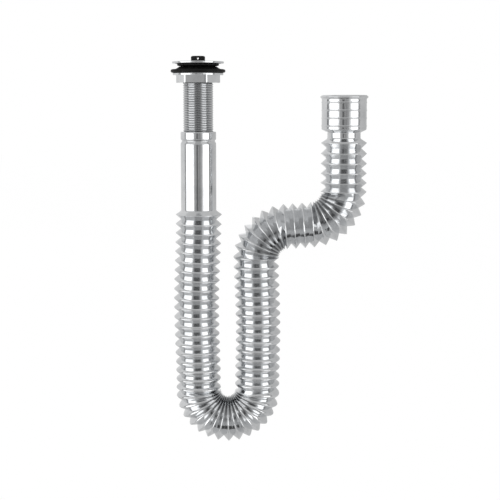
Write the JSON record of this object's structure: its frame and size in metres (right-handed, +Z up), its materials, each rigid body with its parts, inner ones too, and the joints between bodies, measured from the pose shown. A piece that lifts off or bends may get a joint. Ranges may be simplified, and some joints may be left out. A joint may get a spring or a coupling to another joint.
{
  "type": "flexible sink trap",
  "caption": "Flexible basin trap: threaded waste with plug, seals and clamp nut, over a plated bellows pipe that drops, turns up in a U and rises to an open outlet cuff.",
  "frame": {"origin": "axis of the waste, in the plane where its flange meets the basin", "axes": "+Z up along the waste, +X from the inlet leg towards the outlet leg, +Y away from the viewer of the picture"},
  "size_m": [0.1958, 0.0542, 0.3877],
  "materials": {
    "plated_plastic": "bright plating",
    "plated_pipe": "bright plating on blown plastic",
    "black_rubber": "smooth rubber",
    "black_plastic": "satin"
  },
  "bodies": {
    "waste": {"waste_body": "plated_plastic", "upper_seal": "black_rubber"},
    "plug": {"plug": "black_plastic"},
    "clamp_seal": {"lower_seal": "black_rubber"},
    "nut": {"flange_nut": "plated_plastic"},
    "pipe_seal": {"sleeve_seal": "black_rubber"},
    "pipe": {"trap_pipe": "plated_pipe"}
  },
  "joints": [
    {"name": "plug_lift", "type": "slide", "parent": "waste", "child": "plug", "axis": [0, 0, 1], "range_m": [0, 0.03]},
    {"name": "clamp_travel", "type": "slide", "parent": "waste", "child": "clamp_seal", "axis": [0, 0, 1], "range_m": [-0.022, 0]},
    {"name": "nut_turn", "type": "hinge", "parent": "clamp_seal", "child": "nut", "pos_m": [0, 0, -0.0132], "axis": [0, 0, 1], "range_deg": [-3420, 0]},
    {"name": "sleeve_slide", "type": "slide", "parent": "waste", "child": "pipe_seal", "axis": [0, 0, 1], "range_m": [-0.01, 0.022]},
    {"name": "pipe_swivel", "type": "hinge", "parent": "pipe_seal", "child": "pipe", "pos_m": [0, 0, -0.07], "axis": [0, 0, 1], "continuous": true}
  ],
  "couplings": [
    {"joint": "clamp_travel", "follows": "nut_turn", "m_per_rad": 0.0003675}
  ]
}
